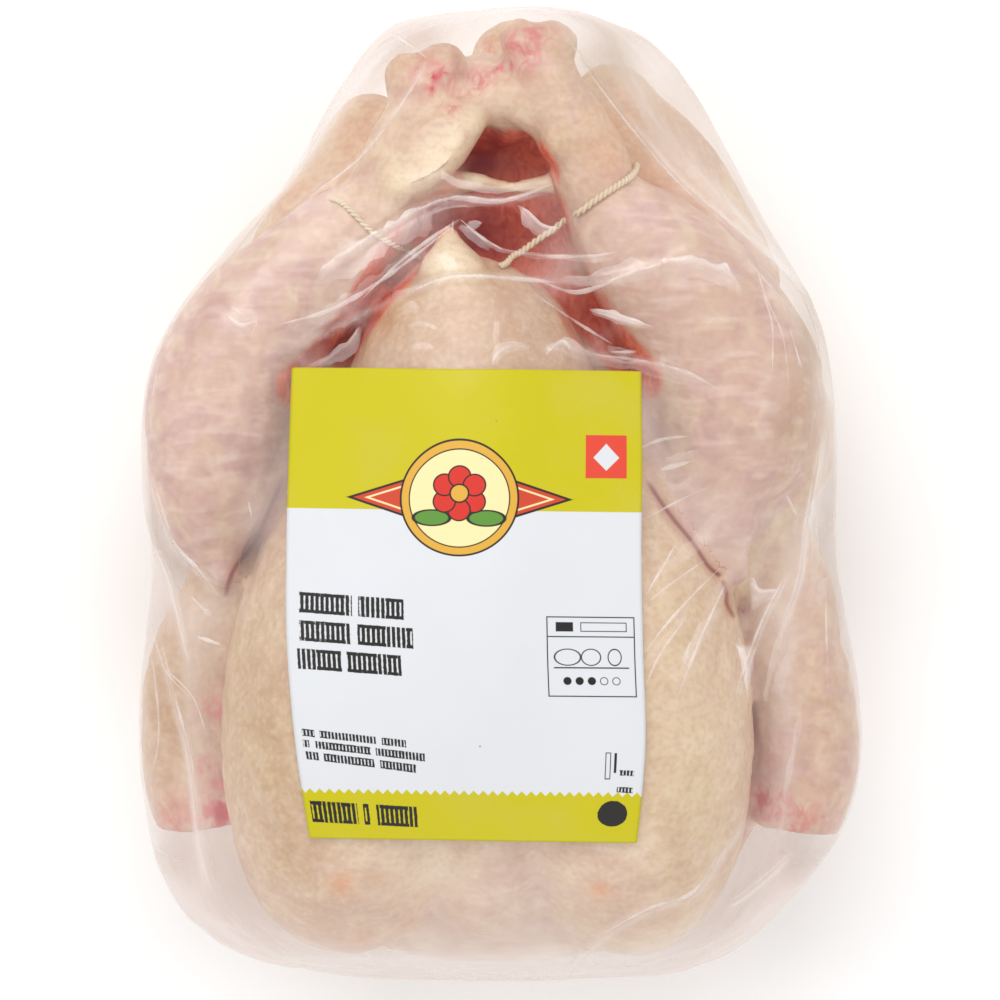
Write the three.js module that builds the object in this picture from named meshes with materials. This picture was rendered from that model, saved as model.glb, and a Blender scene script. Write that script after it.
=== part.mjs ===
// A whole raw chicken, trussed and sealed in a clear bag, lying on its back with the breast up.
// Millimetres, +Z up. +Y points to the tail and the hocks, -Y to the neck, +X to the viewer's right.
// The bag is one closed solid of the outer shape. It is worked out in two steps: the bird is a smooth
// union of tapering limbs and rounded lobes, and the film is drawn part of the way from a taut
// wrapping round all of that towards the flesh. A paper label lies on the film over the breast.
import * as THREE from "three";
import { ConvexHull } from "three/addons/math/ConvexHull.js";
import { mergeVertices } from "three/addons/utils/BufferGeometryUtils.js";

// Driving dimensions
const PACK = { halfWidth: 91, halfLength: 122, middle: 48 };
const FILM = { detail: 17, overFlesh: 0.8, tautness: 0.68, smoothing: 2, looseFrom: 76, looseTo: 102 };
const BLEND = 9; // how widely neighbouring limbs and lobes run into each other
const LABEL = {
  width: 82,
  length: 111,
  x: -8,
  y: -24.5,
  turn: -0.011,
  thick: 0.35,
  gap: 0.6,
  columns: 20,
  rows: 28,
};

const at = (x, y, z) => new THREE.Vector3(x, y, z);

// Rounded lobes: the breast, the back, the pelvis, the shoulders, the neck's skin and the ends of the
// hocks. A turn is in degrees about the upright, through the lobe's centre.
const LOBES = [
  { name: "left breast", centre: at(-29, -42, 55), half: at(38, 71, 43), turn: -11 },
  { name: "right breast", centre: at(23, -42, 55), half: at(38, 71, 43), turn: 11 },
  { name: "breast point", centre: at(-6, 6, 60), half: at(34, 56, 37), turn: 3 },
  { name: "back", centre: at(0, -22, 29), half: at(62, 90, 36) },
  { name: "pelvis", centre: at(0, 60, 27), half: at(57, 47, 28) },
  { name: "shoulders", centre: at(0, -72, 30), half: at(66, 42, 36) },
  { name: "neck skin", centre: at(0, -96, 34), half: at(50, 20, 26) },
  { name: "vent", centre: at(-3, 98, 57), half: at(15, 12, 14) },
  { name: "left hock", centre: at(-19, 105, 68), half: at(9, 8, 6) },
  { name: "right hock", centre: at(8, 111, 68), half: at(9, 8, 6) },
];

// Limbs: the points each one runs through, and its radius at each of them
const LIMBS = [
  {
    name: "keel",
    through: [
      at(-3, -94, 60),
      at(-3, -72, 74),
      at(-3, -30, 88),
      at(-6, 10, 83),
      at(-9, 36, 79),
      at(-12, 56, 76),
    ],
    radii: [15, 16, 16, 15, 12, 6],
  },
  {
    name: "left drumstick",
    through: [
      at(-67.5, -14, 64),
      at(-70, -1, 64),
      at(-68, 12, 63),
      at(-67, 25, 63),
      at(-62, 37, 63),
      at(-52, 49, 64),
      at(-40, 61, 65),
      at(-29, 73, 66),
      at(-24, 85, 67),
      at(-18, 99, 68),
    ],
    radii: [5, 15, 18.5, 19.5, 18.5, 17, 14, 10, 8.8, 7],
  },
  {
    name: "right drumstick",
    through: [
      at(57, -17, 66),
      at(55, -10, 66),
      at(53, 1, 65),
      at(55, 13, 63),
      at(56, 25, 62),
      at(52, 38, 62),
      at(45, 49, 63),
      at(35, 61, 65),
      at(25, 73, 66),
      at(21, 84, 67),
      at(14, 97, 68),
      at(8.5, 107, 68),
    ],
    radii: [4, 8, 14.5, 19.5, 21.5, 21, 19.5, 16.5, 10.8, 9.6, 8.6, 7],
  },
  {
    name: "left thigh",
    through: [at(-39, 54, 30), at(-58, 26, 34), at(-62, -6, 44), at(-64, -16, 50)],
    radii: [24, 26, 17, 9],
  },
  {
    name: "right thigh",
    through: [at(38, 54, 30), at(56, 26, 33), at(56, -6, 44), at(56, -16, 50)],
    radii: [24, 26, 17, 9],
  },
  {
    name: "left wing",
    through: [at(-67, -18, 48), at(-75, -40, 42), at(-77, -62, 38), at(-75, -78, 36)],
    radii: [8, 12, 13, 12],
  },
  {
    name: "right wing",
    through: [at(64, -18, 48), at(74, -40, 42), at(77, -62, 39), at(74, -78, 38)],
    radii: [8, 12, 13.5, 13],
  },
  {
    name: "left wing fold",
    through: [at(-64, -36, 30), at(-74, -62, 27), at(-73, -78, 27)],
    radii: [14, 14, 12],
  },
  {
    name: "right wing fold",
    through: [at(64, -36, 30), at(74, -62, 27), at(72, -78, 27)],
    radii: [14, 14, 12],
  },
  {
    name: "left upper wing",
    through: [at(-46, -82, 34), at(-58, -58, 25), at(-62, -34, 25)],
    radii: [16, 15, 12],
  },
  {
    name: "right upper wing",
    through: [at(46, -82, 34), at(58, -58, 25), at(62, -34, 25)],
    radii: [16, 15, 12],
  },
  {
    name: "tail",
    through: [at(0, 84, 27), at(4, 110, 26)],
    radii: [26, 14],
  },
];

// Where the bag's spare film stands clear of the flesh: beside the hocks and the right drumstick, and
// round the neck, where it bellies out from a low hem to a higher one
const BESIDE_LEGS = [
  at(-28, 119, 44),
  at(21, 120, 56),
  at(39, 116, 36),
  at(64, 82, 32),
  at(81, 50, 50),
  at(84, 30, 50),
];
const ROUND_NECK = [
  [-88, -95],
  [-81, -107],
  [-66, -116],
  [-35, -121],
  [8, -122],
  [48, -120],
  [66, -111],
];
const NECK_BELLY = [
  { height: 11, share: 0.93 },
  { height: 27, share: 1 },
  { height: 45, share: 0.94 },
];
const SPARE_FILM = [
  ...BESIDE_LEGS,
  ...ROUND_NECK.flatMap(([x, y]) => NECK_BELLY.map(({ height, share }) => at(x * share, y * share, height))),
];

const LIMB_STEPS = 22;
const UPRIGHT = at(0, 0, 1);

/** Spheres along a limb, close enough together to be joined by straight tapers. */
function stationsOf({ through, radii }) {
  const line = new THREE.CatmullRomCurve3(through, false, "centripetal");
  const girth = new THREE.SplineCurve(radii.map((r, i) => new THREE.Vector2(i, r)));
  return Array.from({ length: LIMB_STEPS + 1 }, (_, i) => ({
    centre: line.getPoint(i / LIMB_STEPS),
    radius: girth.getPoint(i / LIMB_STEPS).y,
  }));
}

const offset = new THREE.Vector3();
const along = new THREE.Vector3();

/** Distance from a point to the tapering tube between two stations. */
function toTaper(point, a, b) {
  along.subVectors(b.centre, a.centre);
  offset.subVectors(point, a.centre);
  const t = THREE.MathUtils.clamp(offset.dot(along) / along.lengthSq(), 0, 1);
  return offset.addScaledVector(along, -t).length() - THREE.MathUtils.lerp(a.radius, b.radius, t);
}

/** Distance from a point to a limb. */
function toLimb(point, stations) {
  let nearest = Infinity;
  for (let i = 1; i < stations.length; i += 1) {
    nearest = Math.min(nearest, toTaper(point, stations[i - 1], stations[i]));
  }
  return nearest;
}

/** About the distance from a point to an ellipsoid. */
function toLobe(point, { centre, half, turn = 0 }) {
  offset.subVectors(point, centre).applyAxisAngle(UPRIGHT, -THREE.MathUtils.degToRad(turn)).divide(half);
  const near = offset.length();
  const steep = offset.divide(half).length();
  return steep > 0 ? (near * (near - 1)) / steep : -Math.min(half.x, half.y, half.z);
}

/** The smaller of two distances, rounded off where they are within a width of each other. */
function smoothMin(a, b, width) {
  const h = Math.max(width - Math.abs(a - b), 0) / width;
  return Math.min(a, b) - (h * h * width) / 4;
}

const limbs = LIMBS.map(stationsOf);

/** Distance from a point to the bird. */
function toFlesh(point) {
  let distance = Infinity;
  for (const lobe of LOBES) {
    distance = smoothMin(distance, toLobe(point, lobe), BLEND);
  }
  for (const stations of limbs) {
    distance = smoothMin(distance, toLimb(point, stations), BLEND);
  }
  return distance;
}

const heart = at(0, 0, PACK.middle);
const FAR = 190; // a distance that is outside the pack in every direction
const CLOSE_ENOUGH = 0.02;
const MOST_STEPS = 120;
const CAUTION = 0.8; // the share of each distance that is stepped, since the distances are not exact
const WELD = 1e-3; // vertices closer than this are one

/** How far the flesh reaches from the pack's middle in one direction. */
function fleshReach(direction) {
  const point = new THREE.Vector3();
  let reach = FAR;
  for (let i = 0; i < MOST_STEPS; i += 1) {
    const distance = toFlesh(point.copy(heart).addScaledVector(direction, reach));
    if (distance < CLOSE_ENOUGH) {
      break;
    }
    reach -= distance * CAUTION;
  }
  return reach;
}

/** A ball of near-equal triangles, stretched to the pack's proportions, as directions from its middle. */
function evenDirections() {
  const ball = new THREE.IcosahedronGeometry(1, FILM.detail);
  ball.deleteAttribute("normal");
  ball.deleteAttribute("uv");
  ball.scale(PACK.halfWidth, PACK.halfLength, PACK.middle);
  return mergeVertices(ball, WELD);
}

/** For each vertex, the vertices that share an edge with it. */
function neighboursOf(geometry) {
  const index = geometry.index.array;
  const around = Array.from({ length: geometry.attributes.position.count }, () => new Set());
  for (let i = 0; i < index.length; i += 3) {
    for (let k = 0; k < 3; k += 1) {
      around[index[i + k]].add(index[i + ((k + 1) % 3)]);
      around[index[i + ((k + 1) % 3)]].add(index[i + k]);
    }
  }
  return around;
}

/** Each value drawn halfway to the mean of its neighbours. */
function evened(values, around) {
  return values.map((value, i) => {
    let sum = 0;
    around[i].forEach((j) => {
      sum += values[j];
    });
    return (value + sum / around[i].size) / 2;
  });
}

/** The sealed bag: the film's outer shape, cut flat where it lies on the table. */
function makeBag() {
  const geometry = evenDirections();
  const position = geometry.attributes.position;
  const directions = Array.from({ length: position.count }, (_, i) =>
    new THREE.Vector3().fromBufferAttribute(position, i).normalize(),
  );
  const flesh = directions.map(fleshReach);
  const tips = directions.map((d, i) => heart.clone().addScaledVector(d, flesh[i]));
  const wrapping = new ConvexHull().setFromPoints([...tips, ...SPARE_FILM]);
  const ray = new THREE.Ray(heart, new THREE.Vector3());
  const hit = new THREE.Vector3();
  let film = directions.map((d, i) => {
    ray.direction.copy(d);
    wrapping.intersectRay(ray, hit);
    const taut = Math.max(hit.distanceTo(heart), flesh[i]);
    const atAnEnd = THREE.MathUtils.smoothstep(Math.abs(hit.y), FILM.looseFrom, FILM.looseTo);
    const share = THREE.MathUtils.lerp(FILM.tautness, 1, atAnEnd);
    return FILM.overFlesh + THREE.MathUtils.lerp(flesh[i], taut, share);
  });
  const around = neighboursOf(geometry);
  for (let i = 0; i < FILM.smoothing; i += 1) {
    film = evened(film, around);
  }
  directions.forEach((d, i) => {
    const point = heart.clone().addScaledVector(d, film[i]);
    position.setXYZ(i, point.x, point.y, Math.max(point.z, 0));
  });
  geometry.computeBoundingSphere();
  return geometry;
}

/** The paper label: a thin sheet that follows the film under it. */
function makeLabel(bag) {
  const { columns, rows, thick, gap } = LABEL;
  const sheet = new THREE.BoxGeometry(LABEL.width, LABEL.length, 1, columns, rows, 1);
  sheet.deleteAttribute("normal");
  sheet.deleteAttribute("uv");
  sheet.rotateZ(LABEL.turn);
  sheet.translate(LABEL.x, LABEL.y, 0);
  const position = sheet.attributes.position;
  const caster = new THREE.Raycaster();
  const down = at(0, 0, -1);
  for (let i = 0; i < position.count; i += 1) {
    const upper = position.getZ(i) > 0;
    caster.set(at(position.getX(i), position.getY(i), FAR), down);
    const film = caster.intersectObject(bag)[0].point.z;
    position.setZ(i, film + gap + (upper ? thick : 0));
  }
  return sheet;
}

const pack = new THREE.Group();
const bag = new THREE.Mesh(
  makeBag(),
  new THREE.MeshStandardMaterial({ color: 0xe6cdbb, roughness: 0.25, metalness: 0, side: THREE.DoubleSide }),
);
bag.name = "sealed_bag";
const label = new THREE.Mesh(
  makeLabel(bag),
  new THREE.MeshStandardMaterial({ color: 0xecedf0, roughness: 0.45, metalness: 0 }),
);
label.name = "label";
pack.add(bag, label);

// The origin is under the middle of the pack's outline, on the table.
const outline = new THREE.Box3().setFromObject(pack);
const middle = outline.getCenter(new THREE.Vector3());
for (const piece of [bag, label]) {
  piece.position.set(-middle.x, -middle.y, 0);
}

export default pack;
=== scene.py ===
"""A trussed whole raw chicken in a clear film bag, with a printed paper label on the breast.

The bird lies on its back and the camera looks straight down on it. +Y points to the tail and the
hocks, -Y to the neck. The film and the label take the places of the frame's two solids, and the
bird and its string are made inside the film.
"""

import math

import bpy
import numpy as np
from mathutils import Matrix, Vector, noise
from mathutils.bvhtree import BVHTree


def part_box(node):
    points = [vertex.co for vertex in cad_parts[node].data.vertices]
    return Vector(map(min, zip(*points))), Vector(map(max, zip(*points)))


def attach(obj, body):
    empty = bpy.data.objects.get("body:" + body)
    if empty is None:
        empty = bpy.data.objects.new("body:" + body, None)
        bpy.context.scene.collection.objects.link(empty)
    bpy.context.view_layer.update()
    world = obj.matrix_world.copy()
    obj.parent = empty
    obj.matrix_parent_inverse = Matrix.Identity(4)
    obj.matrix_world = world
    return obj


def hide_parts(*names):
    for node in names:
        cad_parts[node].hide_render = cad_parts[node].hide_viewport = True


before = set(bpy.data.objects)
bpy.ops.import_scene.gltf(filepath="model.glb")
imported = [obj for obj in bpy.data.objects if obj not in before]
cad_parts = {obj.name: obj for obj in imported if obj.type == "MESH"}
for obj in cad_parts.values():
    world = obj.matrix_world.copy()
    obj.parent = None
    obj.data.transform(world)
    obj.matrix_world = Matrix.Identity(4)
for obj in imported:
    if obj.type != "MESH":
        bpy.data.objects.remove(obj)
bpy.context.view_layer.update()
bpy.ops.object.select_all(action="DESELECT")

MM = 0.001

# The view: the camera's height, and how wide a strip it sees at one height above the table
PHOTO_SIDE = 1000
EYE_HEIGHT = 1000 * MM
FIELD = 250 * MM
FIELD_HEIGHT = 40 * MM
PIXEL = FIELD / PHOTO_SIDE
SENSOR = 36

# The label's middle, seen from the point under the camera
LABEL_MIDDLE = Vector((-8 * MM, -24.5 * MM))
label_low, label_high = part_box("label")
UNDER_EYE = (label_low.xy + label_high.xy) / 2 - LABEL_MIDDLE
EYE = Vector((UNDER_EYE.x, UNDER_EYE.y, EYE_HEIGHT))


def place(x, y, z):
    """A point given in millimetres from the point under the camera."""
    return Vector((UNDER_EYE.x + x * MM, UNDER_EYE.y + y * MM, z * MM))


def under_pixel(px, py, z):
    """The point at a height in millimetres that the camera sees at a pixel."""
    step = PIXEL * (EYE_HEIGHT - z * MM) / (EYE_HEIGHT - FIELD_HEIGHT)
    half = PHOTO_SIDE / 2
    return Vector((UNDER_EYE.x + (px - half) * step, UNDER_EYE.y + (half - py) * step, z * MM))


# Small tools for shapes


def activate(piece):
    bpy.ops.object.select_all(action="DESELECT")
    piece.select_set(True)
    bpy.context.view_layer.objects.active = piece


def modify(piece, kind, **settings):
    """Adds one modifier with its settings and applies it."""
    activate(piece)
    modifier = piece.modifiers.new(kind.lower(), kind)
    for key, value in settings.items():
        setattr(modifier, key, value)
    bpy.ops.object.modifier_apply(modifier=modifier.name)


def join(pieces, name):
    activate(pieces[0])
    for piece in pieces:
        piece.select_set(True)
    bpy.ops.object.join()
    piece = bpy.context.object
    piece.name = name
    piece.data.name = name
    return piece


def settle(piece):
    """Puts the object at the origin, unturned and unscaled, with its place in its mesh."""
    activate(piece)
    bpy.ops.object.transform_apply(location=True, rotation=True, scale=True)
    return piece


def points_of(piece):
    flat = np.empty(len(piece.data.vertices) * 3)
    piece.data.vertices.foreach_get("co", flat)
    return flat.reshape(-1, 3)


def set_points(piece, points):
    piece.data.vertices.foreach_set("co", points.ravel())
    piece.data.update()


def normals_of(piece):
    flat = np.empty(len(piece.data.vertices) * 3)
    piece.data.vertices.foreach_get("normal", flat)
    return flat.reshape(-1, 3)


def store(piece, name, values):
    """Keeps one number for each vertex under a name that the materials read."""
    attribute = piece.data.attributes.new(name, "FLOAT", "POINT")
    attribute.data.foreach_set("value", np.asarray(values, dtype=np.float32))


def tree_of(piece):
    triangles = [tuple(face.vertices) for face in piece.data.polygons]
    return BVHTree.FromPolygons([vertex.co for vertex in piece.data.vertices], triangles)


def smoothstep(low, high, values):
    t = np.clip((values - low) / (high - low), 0, 1)
    return t * t * (3 - 2 * t)


def rolling(points, size, seed, octaves=3):
    """Soft noise of about -1 to 1 at each point, with hills of a size in millimetres."""
    away = Vector((seed * 17.3, seed * 5.1, seed * 9.7))
    scale = 1 / (size * MM)
    return np.array([noise.fractal(Vector(p) * scale + away, 1.0, 2.0, octaves) for p in points])


def ball(centre, half, turn=(0, 0, 0), fine=32):
    bpy.ops.mesh.primitive_uv_sphere_add(
        segments=fine,
        ring_count=fine // 2,
        radius=1,
        location=place(*centre),
        rotation=[math.radians(angle) for angle in turn],
        scale=[h * MM for h in half],
    )
    return settle(bpy.context.object)


def tube(points, radii, unit, steps, roundness):
    """A smooth tube through points, its radii in a unit, with flat caps."""
    bpy.ops.curve.primitive_bezier_curve_add()
    piece = bpy.context.object
    spline = piece.data.splines[0]
    spline.bezier_points.add(len(points) - 2)
    for knot, point, radius in zip(spline.bezier_points, points, radii):
        knot.co = point
        knot.radius = radius
        knot.handle_left_type = "AUTO"
        knot.handle_right_type = "AUTO"
    spline.radius_interpolation = "CARDINAL"
    spline.resolution_u = steps
    piece.data.dimensions = "3D"
    piece.data.bevel_depth = unit
    piece.data.bevel_resolution = roundness
    piece.data.use_fill_caps = True
    activate(piece)
    bpy.ops.object.convert(target="MESH")
    return piece


def limb(through, radii, cut=()):
    """A tapering tube through points, in millimetres, with round ends apart from those that are cut off."""
    core = tube([place(*point) for point in through], radii, MM, 8, 6)
    ends = [ball(through[i], (radii[i],) * 3, fine=24) for i in (0, -1) if i not in cut]
    return join([core, *ends], "limb")


def along(path, t):
    """A point on a smooth line through a path's points, t from 0 to 1."""
    spot = t * (len(path) - 1)
    i = min(int(spot), len(path) - 2)
    f = spot - i
    p = [Vector(path[max(0, min(len(path) - 1, k))]) for k in (i - 1, i, i + 1, i + 2)]
    return 0.5 * (
        2 * p[1]
        + (p[2] - p[0]) * f
        + (2 * p[0] - 5 * p[1] + 4 * p[2] - p[3]) * f * f
        + (3 * p[1] - 3 * p[2] + p[3] - p[0]) * f ** 3
    )


def seen(skin, px, py):
    """Where the camera's ray through a pixel meets a surface, and the surface's normal there."""
    hit, normal = skin.ray_cast(EYE, under_pixel(px, py, 0) - EYE)[:2]
    return hit, normal


def pixels_of(points):
    """Where the camera sees points, as pixels."""
    away = points - np.array(EYE)
    step = PIXEL / (EYE_HEIGHT - FIELD_HEIGHT)
    half = PHOTO_SIDE / 2
    across, down = away[:, 0] / away[:, 2] / step, away[:, 1] / away[:, 2] / step
    return np.stack([half - across, half + down], axis=1)


LINE_STEPS = 24


def away_from(path, spots):
    """Each spot's distance in the picture from a smooth line through pixels, how far along, and the side."""
    line = np.array([along(path, i / LINE_STEPS) for i in range(LINE_STEPS + 1)])
    best = np.full(len(spots), 1e9)
    share = np.zeros(len(spots))
    side = np.ones(len(spots))
    for i in range(LINE_STEPS):
        start, step = line[i], line[i + 1] - line[i]
        t = np.clip((spots - start) @ step / (step @ step), 0, 1)
        far = np.linalg.norm(spots - start - t[:, None] * step, axis=1)
        nearer = far < best
        best[nearer] = far[nearer]
        share[nearer] = (i + t[nearer]) / LINE_STEPS
        turned = step[0] * (spots[:, 1] - start[1]) - step[1] * (spots[:, 0] - start[0])
        side[nearer] = np.sign(turned[nearer])
    return best, share, side


# The bird's flesh, in millimetres from the point under the camera

LOBES = [
    {"name": "left breast", "centre": (-29, -42, 55), "half": (38, 71, 43), "turn": (0, 0, -11)},
    {"name": "right breast", "centre": (23, -42, 55), "half": (38, 71, 43), "turn": (0, 0, 11)},
    {"name": "breast point", "centre": (-6, 6, 60), "half": (34, 56, 37), "turn": (0, 0, 3)},
    {"name": "back", "centre": (0, -22, 30), "half": (61, 88, 33)},
    {"name": "pelvis", "centre": (0, 60, 27), "half": (57, 47, 26)},
    {"name": "shoulders", "centre": (0, -72, 31), "half": (64, 40, 32)},
    {"name": "neck skin", "centre": (0, -96, 34), "half": (50, 20, 26)},
    {"name": "vent", "centre": (-3, 98, 57), "half": (15, 12, 14)},
    {"name": "left condyle", "centre": (-22, 102, 69), "half": (6.5, 6.5, 6), "turn": (0, 0, 20)},
    {"name": "inner left condyle", "centre": (-14, 106, 68), "half": (6, 5.5, 6), "turn": (0, 0, 20)},
    {"name": "left tendon", "centre": (-9, 100, 66), "half": (3, 9, 4), "turn": (0, 0, 35)},
    {"name": "right condyle", "centre": (13, 111, 68), "half": (6, 6, 6), "turn": (0, 0, -20)},
    {"name": "inner right condyle", "centre": (5.5, 111, 69), "half": (6, 6, 6), "turn": (0, 0, -20)},
    {"name": "right tendon", "centre": (1, 103, 66), "half": (3, 9, 4), "turn": (0, 0, -30)},
]

LIMBS = [
    {
        "name": "keel",
        "through": [
            (-3, -94, 60),
            (-3, -72, 74),
            (-3, -30, 84),
            (-6, 10, 83),
            (-8, 36, 79),
            (-10, 49, 76),
            (-12, 58, 76),
            (-12.5, 64, 75.5),
        ],
        "radii": [15, 16, 16, 15, 13, 10.5, 7, 2.6],
    },
    {
        "name": "left drumstick",
        "through": [
            (-66.5, -18, 66),
            (-69, -11, 65),
            (-70, -1, 64),
            (-68, 12, 63),
            (-67, 25, 63),
            (-62, 37, 63),
            (-52, 49, 64),
            (-40, 61, 65),
            (-29, 73, 66),
            (-24, 85, 67),
            (-18, 99, 68),
        ],
        "radii": [3.5, 8.5, 15, 18.5, 19.5, 18.5, 17, 14, 10, 8.8, 7],
    },
    {
        "name": "right drumstick",
        "through": [
            (57, -17, 66),
            (55, -10, 66),
            (53, 1, 65),
            (55, 13, 63),
            (56, 25, 62),
            (52, 38, 62),
            (45, 49, 63),
            (35, 61, 65),
            (25, 73, 66),
            (21, 84, 67),
            (14, 97, 68),
            (8.5, 107, 68),
        ],
        "radii": [4, 8, 14.5, 19.5, 21.5, 21, 19.5, 16.5, 10.8, 9.6, 8.6, 7],
    },
    {
        "name": "left thigh",
        "through": [(-39, 54, 30), (-58, 26, 34), (-62, -6, 44), (-64, -16, 50)],
        "radii": [24, 26, 17, 9],
    },
    {
        "name": "right thigh",
        "through": [(38, 54, 30), (56, 26, 33), (56, -6, 44), (56, -16, 50)],
        "radii": [24, 26, 17, 9],
    },
    {
        "name": "left wing",
        "through": [(-67, -19, 47), (-75, -40, 42), (-77, -62, 38), (-75, -81, 36)],
        "radii": [10, 12.5, 13, 12],
        "cut": (-1,),
    },
    {
        "name": "right wing",
        "through": [(66, -4, 44), (70, -20, 44), (74, -40, 42), (77, -62, 39), (74, -82, 38)],
        "radii": [9, 12, 12.5, 13.5, 13],
        "cut": (-1,),
    },
    {
        "name": "left wing fold",
        "through": [(-64, -36, 30), (-74, -58, 27), (-73, -71, 27)],
        "radii": [14, 14, 12],
        "cut": (-1,),
    },
    {
        "name": "right wing fold",
        "through": [(64, -36, 30), (74, -58, 27), (73, -72, 27)],
        "radii": [14, 14, 12],
        "cut": (-1,),
    },
    {
        "name": "left upper wing",
        "through": [(-46, -82, 34), (-58, -58, 25), (-62, -34, 25)],
        "radii": [16, 15, 12],
    },
    {
        "name": "right upper wing",
        "through": [(46, -82, 34), (58, -58, 25), (62, -34, 25)],
        "radii": [16, 15, 12],
    },
    {
        "name": "left knee skin",
        "through": [(-58, -24, 47), (-55, -4, 50), (-50, 16, 53)],
        "radii": [8, 11, 12],
    },
    {
        "name": "right knee skin",
        "through": [(51, -24, 48), (47, -4, 51), (40, 16, 54)],
        "radii": [8, 11, 12],
    },
    {
        "name": "left flank",
        "through": [(-40, 48, 46), (-27, 78, 48), (-12, 98, 50)],
        "radii": [15, 13, 11],
    },
    {
        "name": "right flank",
        "through": [(38, 48, 46), (27, 80, 48), (8, 98, 50)],
        "radii": [15, 13, 11],
    },
    {
        "name": "right leg side",
        "through": [(60, 34, 50), (63, 15, 48), (59, -5, 48)],
        "radii": [16, 20.5, 13],
    },
    {
        "name": "right rump",
        "through": [(28, 98, 40), (45, 76, 45), (56, 54, 47)],
        "radii": [11, 14, 14],
    },
    {
        "name": "left rump",
        "through": [(-32, 92, 40), (-44, 74, 44), (-54, 54, 46)],
        "radii": [10, 12, 12],
    },
    {
        "name": "tail",
        "through": [(0, 84, 28), (4, 110, 27)],
        "radii": [24, 12],
    },
]

# The open belly between the legs, and the gaps that run down from it between the legs and the breast
CAVITY = [
    {"centre": (-6, 83, 67), "half": (5.5, 9, 14), "turn": (10, 0, -32)},
    {"centre": (4.5, 79, 67), "half": (9, 9, 11), "turn": (15, 0, 20)},
    {"centre": (-2, 68, 63), "half": (18, 10, 13), "turn": (12, 0, 0)},
    {"centre": (0, 60, 58), "half": (18, 18, 11), "turn": (8, 0, 0)},
]
# Where the camera looks into the belly: a pixel, half the width and height in pixels, and the rim's height
OPENINGS = [((515, 155), (52, 34), 70), ((485, 218), (88, 40), 69)]
OPEN_GAPS = [
    [(452, 258), (420, 272), (375, 312), (335, 352), (300, 376)],
    [(515, 258), (560, 282), (592, 320), (622, 356), (642, 378)],
]
GAPS = [
    {"through": [(-18, 66, 74), (-29, 52, 72), (-40, 39, 70), (-52, 28, 72)], "radii": [4, 3.6, 3.6, 2.4]},
    {"through": [(7, 68, 74), (17, 52, 74), (24, 40, 72), (35, 30, 72)], "radii": [4, 3.6, 3.6, 2.4]},
]

# What lies over the open belly: a lump of fat, a strip of membrane and a pinched corner of skin
FLAPS = [
    {
        "through": [(-5, 95, 69), (-11.5, 89, 72), (-17.5, 83, 73.5), (-25, 77, 73)],
        "radii": [4.2, 6.6, 7.2, 6],
    },
    {"through": [(-20, 75, 67), (-7, 77.5, 66), (3, 76, 66), (13, 77, 67)], "radii": [4, 2.6, 1.8, 2.5]},
    {"through": [(18, 88, 69), (26, 83.5, 69.5), (30.5, 81.5, 69)], "radii": [9, 4, 1.6]},
    {"through": [(2, 98, 68), (9, 93.5, 68), (15.5, 87.5, 67)], "radii": [5.5, 5, 4]},
]

VOXEL = 1.3 * MM
FLESH_GAP = 0.6 * MM  # how far inside the film the flesh stays
HEART = place(0, 0, 48)

# Skin folds: a pixel and a height, how far they reach, the way across them, their spacing and height
RIPPLES = [
    {"at": ((215, 400), 70), "reach": 20, "across": (0.2, 1), "pitch": 4.6, "height": 0.55},
    {"at": ((715, 400), 70), "reach": 22, "across": (-0.2, 1), "pitch": 6.0, "height": 0.3},
    {"at": ((185, 700), 42), "reach": 16, "across": (0.1, 1), "pitch": 4.6, "height": 0.35},
    {"at": ((815, 650), 42), "reach": 17, "across": (-0.15, 1), "pitch": 4.4, "height": 0.45},
    {"at": ((260, 720), 60), "reach": 20, "across": (0.5, 1), "pitch": 4.8, "height": 0.2},
    {"at": ((690, 740), 62), "reach": 22, "across": (-0.6, 1), "pitch": 5.0, "height": 0.25},
    {"at": ((480, 900), 45), "reach": 30, "across": (0.1, 1), "pitch": 8.0, "height": 0.6},
]

# Where cut flesh and gristle stand up unevenly: a pixel, a height and a reach
RAW_ENDS = [
    ((432, 72), 72, 9),
    ((470, 80), 72, 7),
    ((515, 52), 72, 9),
    ((220, 800), 40, 8),
    ((770, 805), 40, 8),
]


def wrinkle(bird):
    """Gives the smooth flesh its uneven skin: soft lumps all over, and folds where the limbs bend."""
    points, normals = points_of(bird), normals_of(bird)
    rise = 0.55 * rolling(points, 16, 1) + 0.25 * rolling(points, 5.5, 2, 2)
    for fold in RIPPLES:
        (px, py), z = fold["at"]
        away = (points - np.array(under_pixel(px, py, z))) / MM
        across = Vector(fold["across"]).normalized()
        wave = (away[:, 0] * across.x + away[:, 1] * across.y) / fold["pitch"]
        wave = wave + 1.6 * rolling(points, 14, 3, 2)
        near = np.exp(-np.sum(away * away, axis=1) / fold["reach"] ** 2)
        rise += fold["height"] * near * np.sin(2 * math.pi * wave)
    for (px, py), z, reach in RAW_ENDS:
        away = (points - np.array(under_pixel(px, py, z))) / MM
        rise += 1.1 * np.exp(-np.sum(away * away, axis=1) / reach ** 2) * rolling(points, 5, 9, 2)
    set_points(bird, points + normals * rise[:, None] * MM)


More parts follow.
